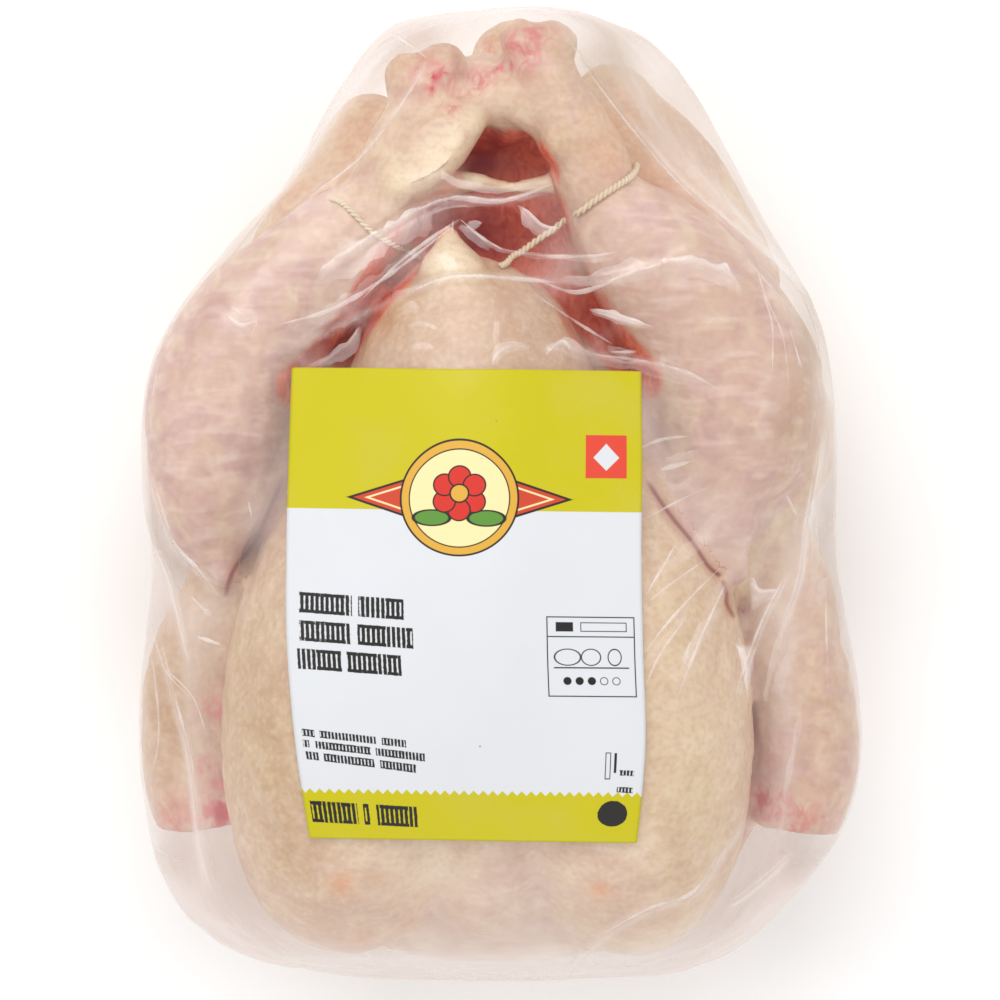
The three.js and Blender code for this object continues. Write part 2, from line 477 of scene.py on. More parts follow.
def make_bird():
    parts = [ball(lobe["centre"], lobe["half"], lobe.get("turn", (0, 0, 0))) for lobe in LOBES]
    parts += [limb(line["through"], line["radii"], line.get("cut", ())) for line in LIMBS]
    bird = join(parts, "chicken")
    modify(bird, "REMESH", mode="VOXEL", voxel_size=VOXEL)
    hollow = join([ball(**piece) for piece in CAVITY] + [limb(**gap) for gap in GAPS], "hollow")
    modify(hollow, "REMESH", mode="VOXEL", voxel_size=VOXEL)
    modify(bird, "BOOLEAN", operation="DIFFERENCE", object=hollow, solver="EXACT")
    bpy.data.objects.remove(hollow)
    bird = join([bird] + [limb(**flap) for flap in FLAPS], "chicken")
    modify(bird, "REMESH", mode="VOXEL", voxel_size=VOXEL)
    modify(bird, "SMOOTH", factor=0.5, iterations=4)
    wrinkle(bird)
    return bird


# The film


def make_film():
    """The bag's film: the frame's solid as one smooth skin."""
    activate(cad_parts["sealed_bag"])
    bpy.ops.object.duplicate()
    film = bpy.context.object
    film.name = "film"
    film.data.name = "film"
    bpy.ops.object.mode_set(mode="EDIT")
    bpy.ops.mesh.select_all(action="SELECT")
    bpy.ops.mesh.remove_doubles(threshold=0.01 * MM)
    bpy.ops.object.mode_set(mode="OBJECT")
    film.data.materials.clear()
    modify(film, "SUBSURF", subdivision_type="CATMULL_CLARK", levels=2, render_levels=2)
    return film


# Soft ridges in the film where it is stretched from one limb to another: their pixels, half width and
# height in millimetres
RIDGES = [
    (
        [(559, 22), (592, 76), (637, 135), (676, 180), (719, 219), (749, 244), (783, 275), (817, 309)],
        2.2,
        0.8,
    ),
    ([(428, 59), (411, 90), (366, 152), (318, 191), (276, 224)], 2.2, 0.9),
    ([(310, 283), (361, 244), (417, 210), (453, 198), (501, 201), (553, 190)], 1.8, 1.0),
    ([(276, 356), (361, 317), (411, 292), (453, 278), (520, 279), (560, 284)], 1.8, 1.0),
    ([(536, 279), (601, 284), (648, 270), (690, 260), (724, 270), (741, 292)], 2.2, 1.2),
    ([(545, 356), (564, 345), (592, 354), (648, 362), (688, 373), (719, 390)], 1.7, 0.9),
    ([(821, 432), (805, 524), (797, 581), (777, 637)], 1.8, 0.8),
    ([(150, 468), (173, 539), (198, 569), (220, 597)], 1.7, 0.7),
    ([(156, 544), (173, 583), (192, 665)], 1.6, 0.7),
    ([(161, 640), (175, 696), (192, 763), (200, 830), (215, 900)], 2.2, 0.8),
    ([(564, 971), (592, 943), (648, 909), (693, 892), (719, 853), (749, 814)], 2.0, 0.8),
    ([(727, 904), (758, 881), (789, 853)], 2.0, 1.0),
    ([(733, 700), (761, 623), (786, 575)], 1.6, 0.8),
    ([(676, 700), (704, 631), (727, 581)], 1.6, 0.6),
]

# Sharp narrow pleats in the film: their pixels, width and height in millimetres
PLEATS = [
    ([(277, 325), (332, 309), (389, 275), (459, 221)], 1.5, 0.6),
    ([(460, 219), (440, 232), (400, 262), (361, 300)], 1.2, 0.5),
    ([(460, 219), (480, 236), (503, 250)], 1.1, 0.5),
    ([(417, 210), (453, 198), (501, 201), (553, 184)], 1.8, 0.8),
    ([(453, 220), (452, 236)], 0.8, 0.4),
    ([(411, 292), (453, 276), (520, 279), (560, 283)], 1.4, 0.7),
    ([(536, 279), (572, 292), (601, 286), (620, 276)], 1.4, 0.6),
    ([(505, 250), (545, 256), (590, 256), (619, 251)], 1.2, 0.5),
    ([(536, 295), (578, 323), (612, 344)], 1.0, 0.6),
    ([(589, 310), (620, 317), (654, 327)], 1.8, 0.7),
    ([(491, 365), (499, 352), (514, 345), (530, 348)], 1.4, 0.8),
    ([(545, 356), (553, 347), (564, 341), (571, 352)], 1.4, 0.8),
    ([(592, 354), (648, 362), (688, 373), (719, 390)], 1.6, 0.7),
    ([(610, 352), (637, 352)], 1.0, 0.4),
    ([(389, 34), (405, 42), (428, 59)], 1.1, 0.5),
    ([(428, 59), (411, 90), (366, 152), (318, 191), (282, 222)], 0.7, 0.5),
    ([(559, 22), (592, 76), (637, 135), (676, 180), (719, 219), (749, 244)], 0.8, 0.5),
    ([(749, 244), (783, 275), (817, 309)], 1.4, 0.6),
    ([(752, 253), (766, 297), (783, 337), (789, 387)], 1.0, 0.5),
    ([(758, 283), (772, 323), (772, 376)], 0.8, 0.4),
    ([(789, 326), (803, 373)], 1.1, 0.5),
    ([(735, 247), (765, 280), (790, 310)], 0.9, 0.5),
    ([(800, 290), (815, 330), (822, 372)], 0.9, 0.5),
    ([(821, 432), (805, 524), (797, 581), (777, 637)], 1.1, 0.6),
    ([(839, 533), (811, 623), (789, 700)], 1.0, 0.5),
    ([(825, 575), (828, 700)], 0.9, 0.4),
    ([(786, 495), (797, 516)], 1.6, 0.7),
    ([(645, 519), (680, 500), (713, 485)], 0.8, 0.5),
    ([(645, 597), (660, 572), (676, 544)], 1.1, 0.6),
    ([(645, 605), (672, 583), (704, 561)], 1.0, 0.5),
    ([(643, 656), (662, 630), (693, 595), (724, 564)], 1.0, 0.6),
    ([(644, 690), (660, 655), (690, 612)], 0.9, 0.4),
    ([(676, 700), (704, 631), (727, 581)], 1.1, 0.6),
    ([(683, 668), (691, 640)], 1.5, 0.6),
    ([(733, 700), (761, 623), (786, 575)], 1.0, 0.5),
    ([(750, 582), (760, 590), (778, 590)], 1.6, 0.7),
    ([(738, 637), (745, 660), (747, 700)], 1.8, 0.6),
    ([(150, 468), (173, 539), (198, 569), (220, 597)], 1.0, 0.5),
    ([(156, 544), (173, 583), (192, 665)], 0.9, 0.5),
    ([(152, 623), (164, 668), (192, 700)], 0.8, 0.4),
    ([(150, 640), (159, 724), (153, 772)], 1.1, 0.5),
    ([(161, 640), (175, 696), (192, 763), (198, 820)], 1.0, 0.6),
    ([(164, 668), (192, 696), (206, 733)], 0.9, 0.5),
    ([(143, 385), (150, 420), (147, 450)], 1.1, 0.5),
    ([(158, 365), (152, 400)], 0.8, 0.4),
    ([(190, 595), (206, 612)], 1.5, 0.6),
    ([(195, 636), (222, 645)], 1.2, 0.5),
    ([(225, 312), (240, 325), (257, 322), (248, 340)], 1.4, 0.6),
    ([(289, 288), (293, 302)], 1.5, 0.5),
    ([(248, 500), (252, 518)], 1.0, 0.5),
    ([(625, 455), (660, 440), (690, 436)], 1.2, 0.5),
    ([(660, 470), (690, 462)], 1.8, 0.6),
    ([(727, 904), (758, 881), (789, 853)], 1.2, 0.6),
    ([(600, 935), (648, 909), (693, 892), (719, 853)], 1.1, 0.4),
]


# Flat pale strips laid on the film as painted highlights where it shines: the pixels of one edge and of the
# other, and how milky the band is
PAINTED_HIGHLIGHT_BANDS = [
    (
        [(308, 291), (331, 259), (366, 237), (398, 217), (432, 205)],
        [(314, 294), (340, 281), (367, 267), (402, 246), (432, 229)],
        0.9,
    ),
    ([(432, 205), (462, 199), (500, 198), (553, 188)], [(432, 215), (462, 207), (500, 205), (553, 193)], 0.4),
    (
        [(248, 368), (277, 332), (333, 303), (371, 275), (425, 246)],
        [(256, 371), (291, 353), (340, 330), (382, 302), (428, 262)],
        0.2,
    ),
    ([(308, 367), (333, 351), (352, 336), (360, 326)], [(326, 366), (340, 362), (356, 351), (362, 328)], 0.8),
    ([(229, 306), (244, 309), (256, 311)], [(240, 314), (250, 324), (262, 319)], 0.4),
    ([(233, 322), (240, 328), (246, 336)], [(230, 328), (236, 338), (245, 340)], 0.3),
    ([(293, 286), (294, 294), (295, 303)], [(298, 286), (298, 294), (298, 304)], 0.5),
    ([(560, 277), (589, 275), (617, 263), (667, 259)], [(560, 283), (589, 287), (623, 283), (667, 280)], 0.5),
    (
        [(662, 259), (690, 255), (706, 260), (725, 268), (742, 288)],
        [(662, 280), (690, 279), (706, 281), (723, 289), (744, 295)],
        0.95,
    ),
    ([(562, 256), (590, 255), (617, 251)], [(562, 260), (592, 263), (619, 256)], 0.3),
    ([(589, 309), (608, 310), (630, 318), (654, 325)], [(592, 314), (608, 320), (626, 326), (653, 329)], 1.0),
    ([(606, 346), (620, 348), (637, 351)], [(608, 354), (620, 357), (633, 356)], 0.3),
    ([(545, 347), (560, 339), (571, 342), (590, 352)], [(548, 352), (562, 352), (572, 359), (590, 364)], 0.5),
    (
        [(590, 352), (614, 359), (640, 360), (667, 368), (694, 377), (718, 390)],
        [(590, 364), (612, 368), (638, 371), (660, 380), (690, 387), (718, 392)],
        0.42,
    ),
    (
        [(491, 352), (500, 344), (516, 342), (530, 346)],
        [(493, 366), (502, 356), (516, 350), (530, 350)],
        0.55,
    ),
    (
        [(480, 236), (500, 247), (540, 253), (590, 254)],
        [(480, 240), (500, 252), (540, 259), (590, 262)],
        0.32,
    ),
    ([(462, 224), (476, 232), (492, 246)], [(458, 228), (470, 240), (488, 252)], 0.35),
    ([(441, 168), (462, 180), (500, 186), (548, 178)], [(441, 180), (462, 189), (500, 194), (548, 186)], 0.3),
    ([(516, 204), (530, 214), (546, 226), (560, 229)], [(520, 210), (524, 226), (540, 236), (556, 234)], 0.9),
    ([(468, 222), (476, 221), (482, 223)], [(466, 228), (474, 230), (480, 226)], 0.6),
    (
        [(749, 576), (758, 586), (770, 588), (781, 590)],
        [(750, 609), (756, 611), (766, 602), (780, 596)],
        0.85,
    ),
    (
        [(735, 643), (738, 652), (743, 672), (747, 702)],
        [(756, 647), (754, 655), (751, 676), (748, 703)],
        0.95,
    ),
    (
        [(678, 674), (688, 643), (702, 622), (722, 603)],
        [(686, 676), (697, 650), (712, 630), (726, 608)],
        0.42,
    ),
    ([(641, 662), (660, 640), (688, 608)], [(642, 672), (664, 645), (690, 613)], 0.3),
    ([(816, 582), (820, 579), (826, 578)], [(815, 604), (820, 604), (824, 596)], 0.35),
    ([(665, 458), (680, 452), (697, 450)], [(666, 470), (682, 468), (696, 458)], 0.42),
    ([(203, 608), (207, 607), (212, 610)], [(204, 614), (208, 616), (213, 616)], 0.5),
    ([(392, 292), (410, 286), (436, 283)], [(392, 300), (412, 294), (436, 288)], 0.35),
    ([(404, 306), (412, 303), (420, 308)], [(402, 316), (408, 314), (416, 314)], 0.4),
    ([(408, 324), (420, 321), (438, 327)], [(409, 328), (422, 326), (436, 330)], 0.28),
    ([(412, 345), (424, 343), (434, 347)], [(413, 349), (424, 349), (433, 350)], 0.18),
    ([(494, 322), (492, 334), (496, 350)], [(500, 321), (500, 336), (500, 350)], 0.22),
    ([(516, 310), (522, 322), (520, 336)], [(522, 309), (530, 322), (525, 336)], 0.24),
    ([(436, 256), (446, 268), (440, 284)], [(446, 252), (458, 268), (448, 286)], 0.2),
    ([(232, 318), (244, 330), (252, 342)], [(238, 315), (250, 326), (256, 340)], 0.35),
    ([(262, 300), (276, 292), (290, 282)], [(264, 303), (278, 296), (292, 286)], 0.3),
    ([(216, 560), (206, 566), (190, 568)], [(224, 590), (208, 580), (194, 572)], 0.25),
    ([(668, 486), (682, 482), (694, 472)], [(670, 492), (684, 488), (696, 478)], 0.3),
    ([(700, 330), (712, 316), (720, 312)], [(704, 334), (716, 322), (723, 318)], 0.3),
    ([(762, 700), (770, 660), (784, 610)], [(766, 701), (775, 662), (789, 612)], 0.3),
    ([(780, 800), (792, 740), (800, 690)], [(785, 800), (798, 742), (805, 690)], 0.3),
    ([(250, 770), (258, 800), (276, 830)], [(256, 768), (266, 796), (282, 828)], 0.22),
    ([(650, 572), (690, 540), (724, 500)], [(656, 578), (700, 548), (730, 506)], 0.14),
    ([(700, 602), (738, 556), (776, 500)], [(708, 610), (750, 562), (784, 508)], 0.16),
    ([(744, 582), (764, 540), (784, 490)], [(750, 586), (772, 544), (790, 494)], 0.14),
    ([(806, 610), (810, 540), (802, 474)], [(814, 610), (818, 540), (808, 474)], 0.2),
    ([(770, 690), (790, 640), (806, 610)], [(780, 694), (800, 646), (814, 612)], 0.18),
]

PLEAT_RISE = 0.5  # how high the pleats stand, as a share of the heights given
PLEAT_PROFILE = (-0.15, 0.45, 1.0, 0.3, -0.15)
PLEAT_MILK = 0.34
PLEAT_THICKNESS = 0.05 * MM
BAND_LIFT = 0.15 * MM
LOOSE_LOW, LOOSE_HIGH = 1.5 * MM, 20 * MM  # how far off the flesh the film starts to look milky, and most so

# Where clear film is drawn over the open belly, the gaps beside the breast and the joints: a pixel, a reach
# in pixels, and how much of the milkiness goes
CLEAR = [
    ((500, 165), 62, 0.97),
    ((500, 225), 66, 0.97),
    ((385, 300), 36, 0.95),
    ((345, 345), 32, 0.95),
    ((590, 310), 42, 0.95),
    ((625, 350), 34, 0.95),
    ((440, 80), 44, 0.75),
    ((520, 66), 46, 0.75),
    ((590, 120), 40, 0.7),
    ((380, 150), 50, 0.6),
    ((225, 560), 34, 0.6),
    ((730, 580), 36, 0.6),
    ((808, 345), 32, 0.6),
    ((806, 420), 26, 0.45),
]

# Where the film is milkier than its distance from the flesh tells: a pixel, a reach in pixels each way, and
# how much
VEILED = [
    ((500, 940), (280, 70), 0.36),
    ((185, 890), (60, 80), 0.25),
    ((750, 890), (70, 60), 0.25),
    ((470, 18), (90, 14), 0.2),
    ((240, 250), (60, 60), 0.12),
    ((700, 160), (60, 90), 0.1),
    ((832, 420), (10, 120), 0.12),
    ((838, 650), (26, 90), 0.04),
    ((160, 590), (18, 60), 0.25),
]

# Where the milky film is painted darker beige, as the shaded flesh under it would show: a pixel, a reach in
# pixels each way, and how much
PAINTED_FLESH_SHADE = [
    ((600, 64), (44, 40), 0.9),
    ((664, 120), (40, 44), 0.5),
    ((320, 165), (34, 44), 0.3),
    ((834, 600), (12, 60), 0.7),
    ((846, 700), (12, 70), 0.6),
    ((828, 480), (10, 60), 0.5),
    ((810, 345), (18, 64), 0.9),
]


def zone_strength(spots, zones, power):
    """How strong zones of the film are at spots in the picture. A higher power makes their edges firmer."""
    strength = np.zeros(len(spots))
    for spot, reach, most in zones:
        away = np.linalg.norm((spots - np.array(spot)) / np.array(reach), axis=1)
        strength = np.maximum(strength, most * np.exp(-away ** power))
    return strength


def crease(film, loose):
    """Raises the film's soft ridges, and adds the film's own unevenness where nothing holds it flat."""
    points, normals = points_of(film), normals_of(film)
    spots = pixels_of(points)
    upward = smoothstep(-0.1, 0.25, normals[:, 2])
    # Painted shade: the film's milk turns darker beige and milkier where the shaded flesh under it would show
    tanned = zone_strength(spots, PAINTED_FLESH_SHADE, 2) * upward
    store(film, "tanned", tanned)
    loose = loose * (1 - zone_strength(spots, CLEAR, 4) * upward)
    loose = loose + zone_strength(spots, VEILED, 2) * upward + tanned * 0.5
    rise = (0.12 + 0.45 * loose) * rolling(points, 15, 5) + 0.06 * rolling(points, 5, 6, 2)
    for path, half, height in RIDGES:
        away, share = away_from(path, spots)[:2]
        ends = smoothstep(0, 0.15, share) * smoothstep(1, 0.85, share)
        fall = np.clip(1 - away * PIXEL / (half * MM), 0, 1)
        raised = ends * fall ** 1.5 * upward
        rise += height * raised
        loose = loose + 0.42 * raised
    set_points(film, points + normals * rise[:, None] * MM)
    return loose


def pleat(skin, path, width, height):
    """A narrow ridge of film with a sharp crest, thin at both ends, laid along a path of pixels."""
    length = sum((Vector(a) - Vector(b)).length for a, b in zip(path, path[1:])) * FIELD / PHOTO_SIDE
    bpy.ops.mesh.primitive_grid_add(x_subdivisions=4, y_subdivisions=max(6, int(length / (0.8 * MM))), size=1)
    strip = bpy.context.object
    milk = []
    for vertex in strip.data.vertices:
        across, t = vertex.co.x, vertex.co.y + 0.5
        spot, ahead = along(path, t), along(path, min(t + 0.02, 1)) - along(path, max(t - 0.02, 0))
        hit, normal = seen(skin, spot.x, spot.y)
        if hit is None:
            bpy.data.objects.remove(strip)
            return None
        side = Vector((ahead.x, -ahead.y, 0)).cross(normal).normalized()
        uneven = noise.fractal(Vector((spot.x / 22, spot.y / 22, 7)), 1.0, 2.0, 2)
        slim = max(0.06, math.sin(math.pi * t) ** 0.8 * (0.7 + 0.5 * uneven))
        crest = PLEAT_PROFILE[round((across + 0.5) * 4)] * height * PLEAT_RISE * slim
        vertex.co = hit + side * across * width * slim * MM + normal * crest * MM
        milk.append(PLEAT_MILK * (0.8 + 0.9 * uneven) * math.sin(math.pi * t) ** 0.5)
    store(strip, "loose", np.clip(milk, 0.04, 1))
    # The pleats are real folds of film; their milk is also made whiter, as a painted highlight
    store(strip, "drawn", np.full(len(milk), 0.7))
    return strip


def highlight_band(skin, near_edge, far_edge, milk):
    """A painted highlight: a flat pale strip of film between two edges given in pixels, uneven, streaked and
    clearer at both ends.
    """
    bpy.ops.mesh.primitive_grid_add(x_subdivisions=8, y_subdivisions=40, size=1)
    strip = bpy.context.object
    strength = []
    for vertex in strip.data.vertices:
        across, t = vertex.co.x + 0.5, vertex.co.y + 0.5
        near, far = along(near_edge, t), along(far_edge, t)
        ragged = noise.fractal(Vector((near.x / 20, near.y / 20, 4.0 * round(across))), 1.0, 2.0, 2)
        spot = near.lerp(far, across + (across - 0.5) * 0.6 * ragged)
        hit, normal = seen(skin, spot.x, spot.y)
        vertex.co = hit + normal * BAND_LIFT
        streak = noise.noise(Vector((across * 4, t * 1.6, near_edge[0][0])))
        fall = 0.4 + 0.6 * (1 - across) ** 1.5
        strength.append(0.75 * milk * fall * (1 + 0.8 * streak) * min(1, 5 * t, 5 * (1 - t)))
    strip.data.update()
    if sum(face.normal.z for face in strip.data.polygons) < 0:
        strip.data.flip_normals()
    # The strip's painted highlight strength, kept with the film's milkiness
    store(strip, "loose", np.clip(strength, 0, 1.4))
    store(strip, "drawn", np.clip(np.array(strength) * 1.2, 0, 1))
    return strip


def make_pleats(skin):
    pleats = join([strip for strip in (pleat(skin, *fold) for fold in PLEATS) if strip], "pleats")
    modify(pleats, "SOLIDIFY", thickness=PLEAT_THICKNESS, offset=0)
    # The real pleats, joined with the pale strips of painted highlight
    return settle(join([pleats] + [highlight_band(skin, *edges) for edges in PAINTED_HIGHLIGHT_BANDS], "film_pleats_and_painted_highlights"))


def hug(bird, film, gap):
    """Draws each point of the bird that comes too near the film back inside it, towards the middle."""
    skin = tree_of(film)
    points = points_of(bird)
    for i, point in enumerate(points):
        ray = Vector(point) - HEART
        reach = ray.length
        ray.normalize()
        hit = skin.ray_cast(HEART, ray)[0]
        if hit is not None and (hit - HEART).length - gap < reach:
            points[i] = HEART + ray * ((hit - HEART).length - gap)
    set_points(bird, points)


def tuck(bird, film, gap):
    """Pushes each point of the bird that lies nearer the film than a gap straight in from it."""
    skin = tree_of(film)
    points = points_of(bird)
    for i, point in enumerate(points):
        hit, normal = skin.find_nearest(Vector(point), 4 * gap)[:2]
        if hit is not None and (hit - Vector(point)).dot(normal) < gap:
            points[i] = hit - normal * gap
    set_points(bird, points)


def stand_off(film, bird):
    """How far each of the film's points is from the flesh."""
    flesh = tree_of(bird)
    return np.array([flesh.find_nearest(vertex.co)[3] for vertex in film.data.vertices])


# Materials: a wire is a socket that Python's operators join with Math nodes


class Wire:
    def __init__(self, finish, socket):
        self.finish = finish
        self.socket = socket

    def math(self, operation, *values, clamp=False):
        inputs = dict(enumerate([self, *values]))
        return self.finish.add("ShaderNodeMath", {"operation": operation, "use_clamp": clamp}, inputs)

    def __add__(self, other):
        return self.math("ADD", other)

    __radd__ = __add__

    def __sub__(self, other):
        return self.math("SUBTRACT", other)

    def __rsub__(self, other):
        return self.finish.add("ShaderNodeMath", {"operation": "SUBTRACT"}, {0: other, 1: self})

    def __mul__(self, other):
        return self.math("MULTIPLY", other)

    __rmul__ = __mul__

    def __truediv__(self, other):
        return self.math("DIVIDE", other)

    def __pow__(self, other):
        return self.math("POWER", other)

    def __abs__(self):
        return self.math("ABSOLUTE")

    def clamped(self):
        return self.math("ADD", 0.0, clamp=True)

    def least(self, other):
        return self.math("MINIMUM", other)

    def most(self, other):
        return self.math("MAXIMUM", other)

    def step(self, low, high):
        """0 at low, 1 at high, with soft ends. low may be the larger."""
        turned = low > high
        low, high = min(low, high), max(low, high)
        risen = self.finish.add(
            "ShaderNodeMapRange",
            {"interpolation_type": "SMOOTHSTEP"},
            {"Value": self, "From Min": low, "From Max": high},
        )
        return 1 - risen if turned else risen

    def output(self, name):
        return Wire(self.finish, self.socket.node.outputs[name])


class Finish:
    """A material while it is made."""

    def __init__(self, name):
        self.material = bpy.data.materials.new(name)
        self.material.use_nodes = True
        self.tree = self.material.node_tree
        self.tree.nodes.clear()

    def add(self, kind, settings=None, sockets=None, output=0):
        """Adds a node: its type, its settings, and the values or wires of its sockets."""
        node = self.tree.nodes.new(kind)
        for key, value in (settings or {}).items():
            setattr(node, key, value)
        for key, value in (sockets or {}).items():
            if isinstance(value, Wire):
                self.tree.links.new(value.socket, node.inputs[key])
            else:
                node.inputs[key].default_value = value
        return Wire(self, node.outputs[output]) if node.outputs else node

    def places(self):
        return self.add("ShaderNodeTexCoord").output("Object")

    def kept(self, name):
        """A number that was stored for each vertex."""
        return self.add("ShaderNodeAttribute", {"attribute_name": name}).output("Fac")

    def noise(self, vector, size, detail=3.0, roughness=0.5, distortion=0.0):
        """Noise of 0 to 1 with spots of a size in millimetres."""
        return self.add(
            "ShaderNodeTexNoise",
            {},
            {
                "Vector": vector,
                "Scale": 1 / (size * MM),
                "Detail": detail,
                "Roughness": roughness,
                "Distortion": distortion,
            },
        )

    def stretched(self, vector, scale, turn=(0, 0, 0)):
        return self.add(
            "ShaderNodeMapping",
            {},
            {"Vector": vector, "Scale": scale, "Rotation": [math.radians(angle) for angle in turn]},
        )

    def blend(self, factor, first, second):
        """Mixes two colours."""
        colours = {0: factor, 6: first, 7: second}
        return self.add("ShaderNodeMix", {"data_type": "RGBA"}, colours, output=2)

    def bump(self, height, distance, strength):
        """A normal from a height, with the bumps' size in millimetres."""
        sockets = {"Height": height, "Distance": distance * MM, "Strength": strength}
        return self.add("ShaderNodeBump", {}, sockets)

    def finish(self, surface):
        self.add("ShaderNodeOutputMaterial", {}, {"Surface": surface})
        return self.material


def tint(red, green, blue):
    """A colour as a screen shows it, 0 to 255, for a socket."""
    parts = [c / 255 for c in (red, green, blue)]
    return (*[c / 12.92 if c <= 0.04045 else ((c + 0.055) / 1.055) ** 2.4 for c in parts], 1.0)


def skin_finish():
    skin = Finish("chicken_skin")
    at = skin.places()
    rosy, bloody, yellow = skin.kept("rosy"), skin.kept("bloody"), skin.kept("yellow")
    deep, fatty, golden = skin.kept("deep"), skin.kept("fatty"), skin.kept("golden")
    crease, shade, dusky = skin.kept("crease"), skin.kept("shade"), skin.kept("dusky")
    broad = skin.noise(at, 26, 1.0)
    mottle = skin.noise(at, 8, 2.0, 0.6, 0.6)
    spotty = skin.noise(skin.stretched(at, (0.7, 1, 1), (20, 35, 50)), 4.2, 1.0, 0.6)
    fine = skin.noise(at, 1.5, 1.0)
    colour = skin.blend(broad.step(0.3, 0.7), tint(214, 184, 150), tint(206, 170, 142))
    colour = skin.blend(yellow * 0.9, colour, tint(206, 180, 134))
    colour = skin.blend(rosy * 0.95, colour, tint(208, 172, 158))
    colour = skin.blend(mottle.step(0.45, 0.72) * (0.2 + rosy * 0.45), colour, tint(190, 148, 146))
    colour = skin.blend(mottle.step(0.5, 0.26) * 0.55, colour, tint(226, 204, 174))
    colour = skin.blend(spotty.step(0.5, 0.72) * 0.34, colour, tint(226, 204, 180))
    colour = skin.blend(spotty.step(0.48, 0.3) * (0.15 + yellow * 0.55), colour, tint(186, 152, 106))
    colour = skin.blend(golden * (0.35 + broad.step(0.25, 0.55) * 0.65), colour, tint(214, 150, 100))
    # Painted shade: darker patches where the flesh lies in shade
    colour = skin.blend(dusky * 0.8, colour, tint(184, 148, 116))
    # Painted highlights: light streaks on the rosy skin, as if its small wrinkles caught the light
    painted_ridge_highlight = skin.noise(skin.stretched(at, (0.2, 1.0, 0.6), (0, 0, -6)), 3.0, 1.0)
    colour = skin.blend(painted_ridge_highlight.step(0.5, 0.75) * rosy * 0.34, colour, tint(234, 212, 200))
    colour = skin.blend(fatty, colour, tint(236, 216, 184))
    grainy = 1 - rosy * 0.65
    colour = skin.blend(fine.step(0.45, 0.7) * grainy * 0.2, colour, tint(176, 134, 112))
    colour = skin.blend(fine.step(0.5, 0.28) * grainy * 0.2, colour, tint(228, 206, 178))
    # Painted shade: darker, redder flesh in the broad hollows
    colour = skin.blend(shade * 0.62, colour, tint(178, 108, 86))
    raw = skin.noise(skin.stretched(at, (1.0, 0.6, 1.0), (0, 0, 30)), 2.6, 2.0, 0.6, 0.8)
    colour = skin.blend((bloody * (0.25 + raw.step(0.38, 0.62) * 1.0)).clamped(), colour, tint(206, 96, 98))
    colour = skin.blend(bloody.step(0.78, 0.95), colour, tint(192, 40, 52))
    # Painted shadows: a darker band beside each listed fold and a dark line along it
    folded, beside = skin.kept("folded"), abs(skin.kept("beside"))
    colour = skin.blend(folded * beside.step(3.6, 0.3) * 0.55, colour, tint(176, 108, 86))
    line = folded * beside.step(1.2, 0.1)
    # Painted shade: dark red-brown in the narrow creases
    colour = skin.blend(crease * 0.75, colour, tint(150, 74, 58))
    colour = skin.blend(line, colour, tint(134, 50, 40))
    inner = skin.blend(raw.step(0.3, 0.7), tint(236, 126, 94), tint(204, 82, 62))
    inner = skin.blend(skin.kept("wine"), inner, tint(156, 48, 56))
    colour = skin.blend(deep, colour, inner)
    swell = skin.noise(at, 7, 0.0)
    ripples = skin.noise(skin.stretched(at, (0.3, 1.0, 0.8)), 2.4, 1.0, 0.6)
    height = swell * 1.2 + ripples * 0.9
    body = skin.add(
        "ShaderNodeBsdfPrincipled",
        {},
        {
            "Base Color": colour,
            "Roughness": 0.42,
            "Normal": skin.bump(height, 0.5, 0.7),
        },
    )
    return skin.finish(body)


def film_finish():
    """Clear film: see-through, glossy by angle, and milky where it stands clear of the flesh or is folded.
    Its milk is painted whiter as highlights on the pale strips and pleats, and darker beige as painted shade
    where the shaded flesh under it would show.
    """
    film = Finish("clear_film")
    at = film.places()
    loose = film.kept("loose")
    crinkle = film.noise(at, 9, 1.0)
    fine = film.noise(film.stretched(at, (1.0, 0.35, 0.6)), 3.4, 1.0)
    height = abs(crinkle - 0.5) * 1.0 + abs(fine - 0.5) * 0.8
    shape = film.bump(height, 0.5, 0.4)
    facing = film.add("ShaderNodeLayerWeight", {}, {"Blend": 0.35, "Normal": shape}).output("Facing")
    dense = 1 - film.kept("sheer")
    # Milky where the film stands clear of the flesh, and where highlights and shade are painted in
    haze = (0.02 * dense + loose * 0.62 + facing ** 1.6 * (0.2 * dense + loose * 0.7)).clamped()
    slant = film.add("ShaderNodeLayerWeight", {}, {"Blend": 0.5, "Normal": shape}).output("Facing")
    sheen = (0.04 + slant ** 5 * 0.96) * (0.08 + dense * 0.92)
    clear = film.add("ShaderNodeBsdfTransparent", {}, {"Color": (0.985, 0.97, 0.96, 1)})
    gloss = film.add("ShaderNodeBsdfGlossy", {}, {"Color": (1, 1, 1, 1), "Roughness": 0.27, "Normal": shape})
    # Painted highlight: the milk is nearly white on the pale strips and pleats laid on as highlights
    milky = film.blend(film.kept("drawn"), tint(230, 213, 205), tint(248, 236, 232))
    milk = film.add(
        "ShaderNodeBsdfPrincipled",
        {},
        {
            # painted shade: darker beige milk where the shaded flesh under it would show
            "Base Color": film.blend(film.kept("tanned") * 1.2, milky, tint(190, 168, 148)),
            "Roughness": 0.25,
            "Normal": shape,
        },
    )
    sheer = film.add("ShaderNodeMixShader", {}, {0: sheen, 1: clear, 2: gloss})
    return film.finish(film.add("ShaderNodeMixShader", {}, {0: haze, 1: sheer, 2: milk}))


def plain_finish(name, colour, roughness, wear=0.08, glow=0.0):
    """One colour, a little darker in soft patches where there is wear."""
    plain = Finish(name)
    worn = (*[c * (1 - wear) for c in colour[:3]], 1)
    shade = plain.blend(plain.noise(plain.places(), 5, 3.0).step(0.3, 0.7), colour, worn) if wear else colour
    return plain.finish(
        plain.add(
            "ShaderNodeBsdfPrincipled",
            {},
            {
                "Base Color": shade,
                "Roughness": roughness,
                "Emission Color": (1, 1, 1, 1),
                "Emission Strength": glow,
            },
        )
    )


